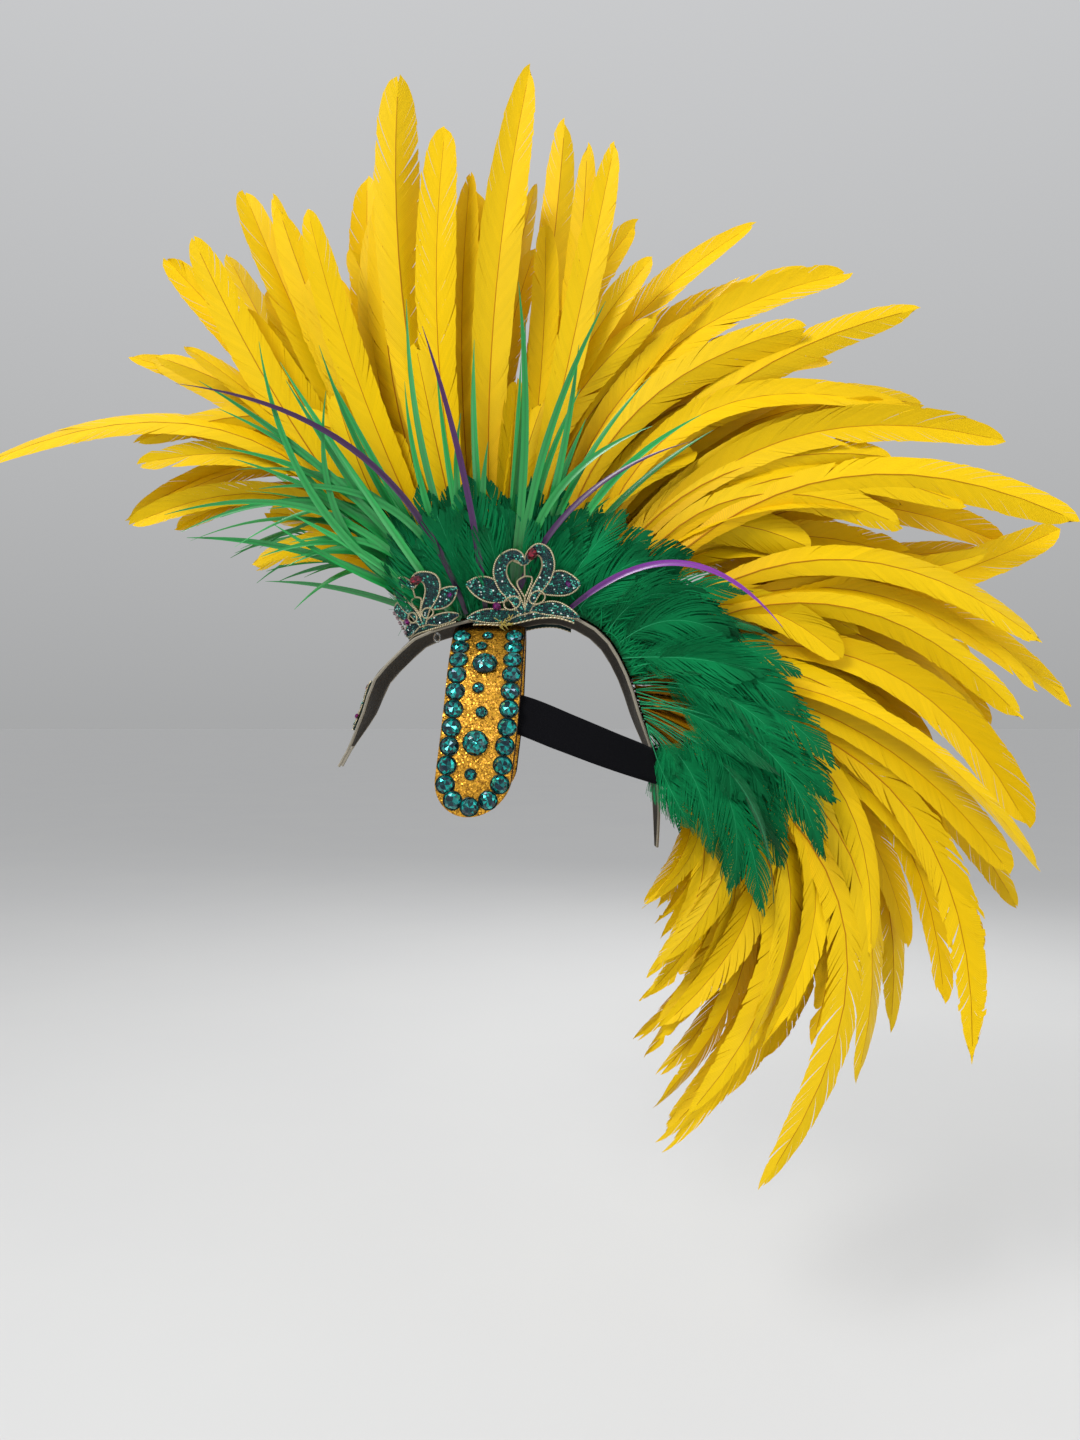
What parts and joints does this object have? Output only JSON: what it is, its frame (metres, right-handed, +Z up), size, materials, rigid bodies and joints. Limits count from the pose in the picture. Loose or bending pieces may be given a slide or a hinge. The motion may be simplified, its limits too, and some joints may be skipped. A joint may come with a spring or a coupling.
{
  "type": "feathered headdress",
  "caption": "Mohawk headdress of yellow tail feathers and green plumage on a crown band, with a stone-set gold cross band, beaded swan motifs and a black back strap",
  "frame": {"origin": "underside of the crossing of the two bands, where the headdress sits on the crown of the head", "axes": "+Z up, the wearer faces -X, the wearer's left side is -Y"},
  "size_m": [0.716, 0.1854, 0.7069],
  "materials": {
    "felt": "grey-brown felt",
    "edge_wire": "pale wired edge binding",
    "gold_glitter": "coarse gold glitter cloth",
    "teal_stone": "foil-backed cut teal stone",
    "black_velvet": "black velvet",
    "black_gloss": "gloss black",
    "beadwork": "teal glass beads with pale gold cord rims",
    "clear_drop": "clear glass",
    "yellow_feather": "dyed yellow tail feather",
    "green_feather": "dyed emerald plume",
    "purple_feather": "dyed purple biot"
  },
  "bodies": {
    "root": {"crown_band": "felt", "crown_wire_left": "edge_wire", "crown_wire_right": "edge_wire", "cross_band": "gold_glitter", "edge_stones_left": "teal_stone", "edge_stones_right": "teal_stone", "back_strap": "black_velvet", "strap_slider": "black_gloss", "applique_side_left": "beadwork", "applique_side_right": "beadwork", "applique_front_left": "beadwork", "applique_front_right": "beadwork", "forehead_applique": "beadwork", "drop_loop": "clear_drop", "centre_stone_left_1": "teal_stone", "centre_stone_right_1": "teal_stone", "centre_stone_left_2": "teal_stone", "centre_stone_right_2": "teal_stone", "centre_stone_left_3": "teal_stone", "centre_stone_right_3": "teal_stone", "centre_stone_left_4": "teal_stone", "centre_stone_right_4": "teal_stone", "centre_stone_left_5": "teal_stone", "centre_stone_right_5": "teal_stone", "centre_stone_left_6": "teal_stone", "centre_stone_right_6": "teal_stone", "centre_stone_left_7": "teal_stone", "centre_stone_right_7": "teal_stone", "purple_biot_left_1": "purple_feather", "purple_biot_right_1": "purple_feather", "purple_biot_left_2": "purple_feather", "purple_biot_right_2": "purple_feather", "purple_biot_left_3": "purple_feather", "purple_biot_right_3": "purple_feather", "purple_biot_left_4": "purple_feather", "purple_biot_right_4": "purple_feather", "crest_brow": "yellow_feather", "crest_front": "yellow_feather", "crest_top": "yellow_feather", "crest_back": "yellow_feather", "crest_nape": "yellow_feather", "plumage_front_left": "green_feather", "plumage_front_right": "green_feather", "plumage_back_left": "green_feather", "plumage_back_right": "green_feather"}
  },
  "joints": []
}
